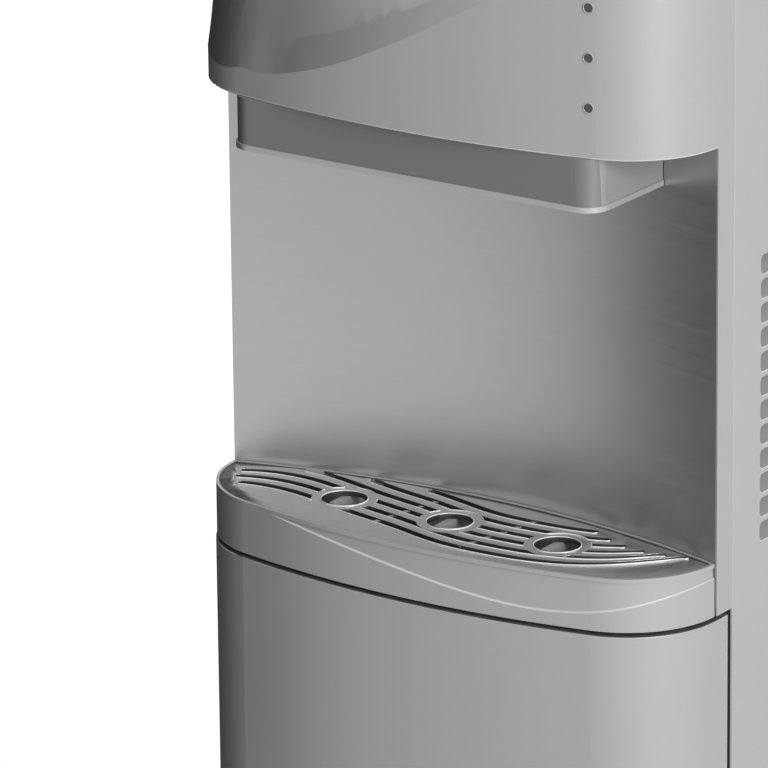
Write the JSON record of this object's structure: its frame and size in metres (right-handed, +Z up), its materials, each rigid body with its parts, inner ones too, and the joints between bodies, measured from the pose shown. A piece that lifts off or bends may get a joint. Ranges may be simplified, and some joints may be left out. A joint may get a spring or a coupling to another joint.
{
  "type": "bottom load water cooler",
  "caption": "Free-standing bottom load water cooler with a bowed front, dispensing alcove, slide-out drip tray and bottle door",
  "frame": {"origin": "on the floor, under the middle of the machine's width and depth", "axes": "+Z up, -Y towards the user at the front, +X to the right as seen from the front"},
  "size_m": [0.31, 0.36, 1.04],
  "materials": {
    "silver_moulding": "satin silver-grey moulded plastic",
    "silver_panel": "satin silver-grey painted sheet steel",
    "alcove_steel": "fine brushed stainless sheet",
    "grille_silver": "satin silver-grey moulded plastic",
    "housing_grey": "matt mid-grey plastic",
    "plate_silver": "satin light silver plastic",
    "button_silver": "satin silver plastic with a coloured spot",
    "lens_dark": "dark smoked lens",
    "black_plastic": "matt black plastic",
    "dark_plastic": "matt dark grey plastic",
    "frame_grey": "satin grey plastic",
    "white_liner": "smooth white moulded plastic",
    "zinc_steel": "zinc coated steel sheet",
    "stainless": "bright drawn stainless steel",
    "black_steel": "black painted steel",
    "copper": "drawn copper",
    "rubber": "matt black rubber",
    "silicone": "translucent white silicone",
    "foam": "white expanded foam",
    "circuit": "green circuit board"
  },
  "bodies": {
    "cabinet": {"rubber_feet": "rubber", "base_pan": "dark_plastic", "right_side_panel": "silver_panel", "left_side_panel": "silver_panel", "rear_panel": "zinc_steel", "front_fascia": "silver_moulding", "top_cover": "silver_moulding", "door_frame": "frame_grey", "bay_liner": "white_liner", "bottle_rest": "dark_plastic", "deck": "zinc_steel", "head_shelf": "zinc_steel", "hinge_plates": "stainless", "strike_plate": "stainless", "alcove_wall": "alcove_steel", "spout_housing": "housing_grey", "spout_plate": "plate_silver", "spouts": "dark_plastic", "tap_valves": "white_liner", "tap_hoses": "silicone", "indicator_lenses": "lens_dark", "button_carrier": "black_plastic", "switch_board": "circuit", "cold_insulation": "foam", "cold_tank": "stainless", "evaporator": "copper", "hot_tank": "stainless", "hot_jacket": "foam", "compressor": "black_steel", "compressor_terminal": "black_plastic", "compressor_grommets": "rubber", "water_pump": "black_plastic", "water_hoses": "silicone", "bottle_probe": "white_liner", "discharge_pipe": "copper", "suction_line": "copper", "filter_and_capillary": "copper", "condenser_tube": "black_steel", "condenser_wires": "black_steel", "condenser_brackets": "black_plastic", "switch_plate": "black_plastic", "power_inlet": "black_plastic", "drain_fitting": "dark_plastic", "hot_button_spring": "stainless", "room_button_spring": "stainless", "cold_button_spring": "stainless"},
    "door": {"door_skin": "silver_moulding", "door_liner": "white_liner", "hinge_bushes": "black_plastic", "door_magnet": "black_plastic"},
    "drip_tray": {"drip_tray": "silver_moulding"},
    "drip_grille": {"drip_grille": "grille_silver"},
    "hot_button": {"hot_button": "button_silver"},
    "room_button": {"room_button": "button_silver"},
    "cold_button": {"cold_button": "button_silver"},
    "child_lock": {"child_lock": "button_silver"},
    "heater_switch": {"heater_switch": "black_plastic"},
    "cooler_switch": {"cooler_switch": "black_plastic"},
    "lamp_switch": {"lamp_switch": "black_plastic"},
    "drain_plug": {"drain_plug": "rubber"}
  },
  "joints": [
    {"name": "door_hinge", "type": "hinge", "parent": "cabinet", "child": "door", "pos_m": [-0.1502, -0.107, 0.3025], "axis": [0, 0, 1], "range_deg": [-105, 0]},
    {"name": "drip_tray_slide", "type": "slide", "parent": "cabinet", "child": "drip_tray", "axis": [0, -1, 0], "range_m": [0, 0.095]},
    {"name": "drip_grille_lift", "type": "slide", "parent": "drip_tray", "child": "drip_grille", "axis": [0, 0, 1], "range_m": [0, 0.05]},
    {"name": "hot_button_press", "type": "slide", "parent": "cabinet", "child": "hot_button", "axis": [0, 1, 0], "range_m": [0, 0.004], "stiffness_N_per_m": 250, "springref_m": -0.004, "deforming": ["hot_button_spring"]},
    {"name": "room_button_press", "type": "slide", "parent": "cabinet", "child": "room_button", "axis": [0, 1, 0], "range_m": [0, 0.004], "stiffness_N_per_m": 250, "springref_m": -0.004, "deforming": ["room_button_spring"]},
    {"name": "cold_button_press", "type": "slide", "parent": "cabinet", "child": "cold_button", "axis": [0, 1, 0], "range_m": [0, 0.004], "stiffness_N_per_m": 250, "springref_m": -0.004, "deforming": ["cold_button_spring"]},
    {"name": "child_lock_slide", "type": "slide", "parent": "cabinet", "child": "child_lock", "axis": [-1, 0, 0], "range_m": [0, 0.006]},
    {"name": "heater_switch_rock", "type": "hinge", "parent": "cabinet", "child": "heater_switch", "pos_m": [-0.034, 0.151, 0.78], "axis": [1, 0, 0], "range_deg": [0, 18]},
    {"name": "cooler_switch_rock", "type": "hinge", "parent": "cabinet", "child": "cooler_switch", "pos_m": [0, 0.151, 0.78], "axis": [1, 0, 0], "range_deg": [0, 18]},
    {"name": "lamp_switch_rock", "type": "hinge", "parent": "cabinet", "child": "lamp_switch", "pos_m": [0.034, 0.151, 0.78], "axis": [1, 0, 0], "range_deg": [0, 18]},
    {"name": "drain_plug_pull", "type": "slide", "parent": "cabinet", "child": "drain_plug", "axis": [0, 1, 0], "range_m": [0, 0.025]}
  ]
}
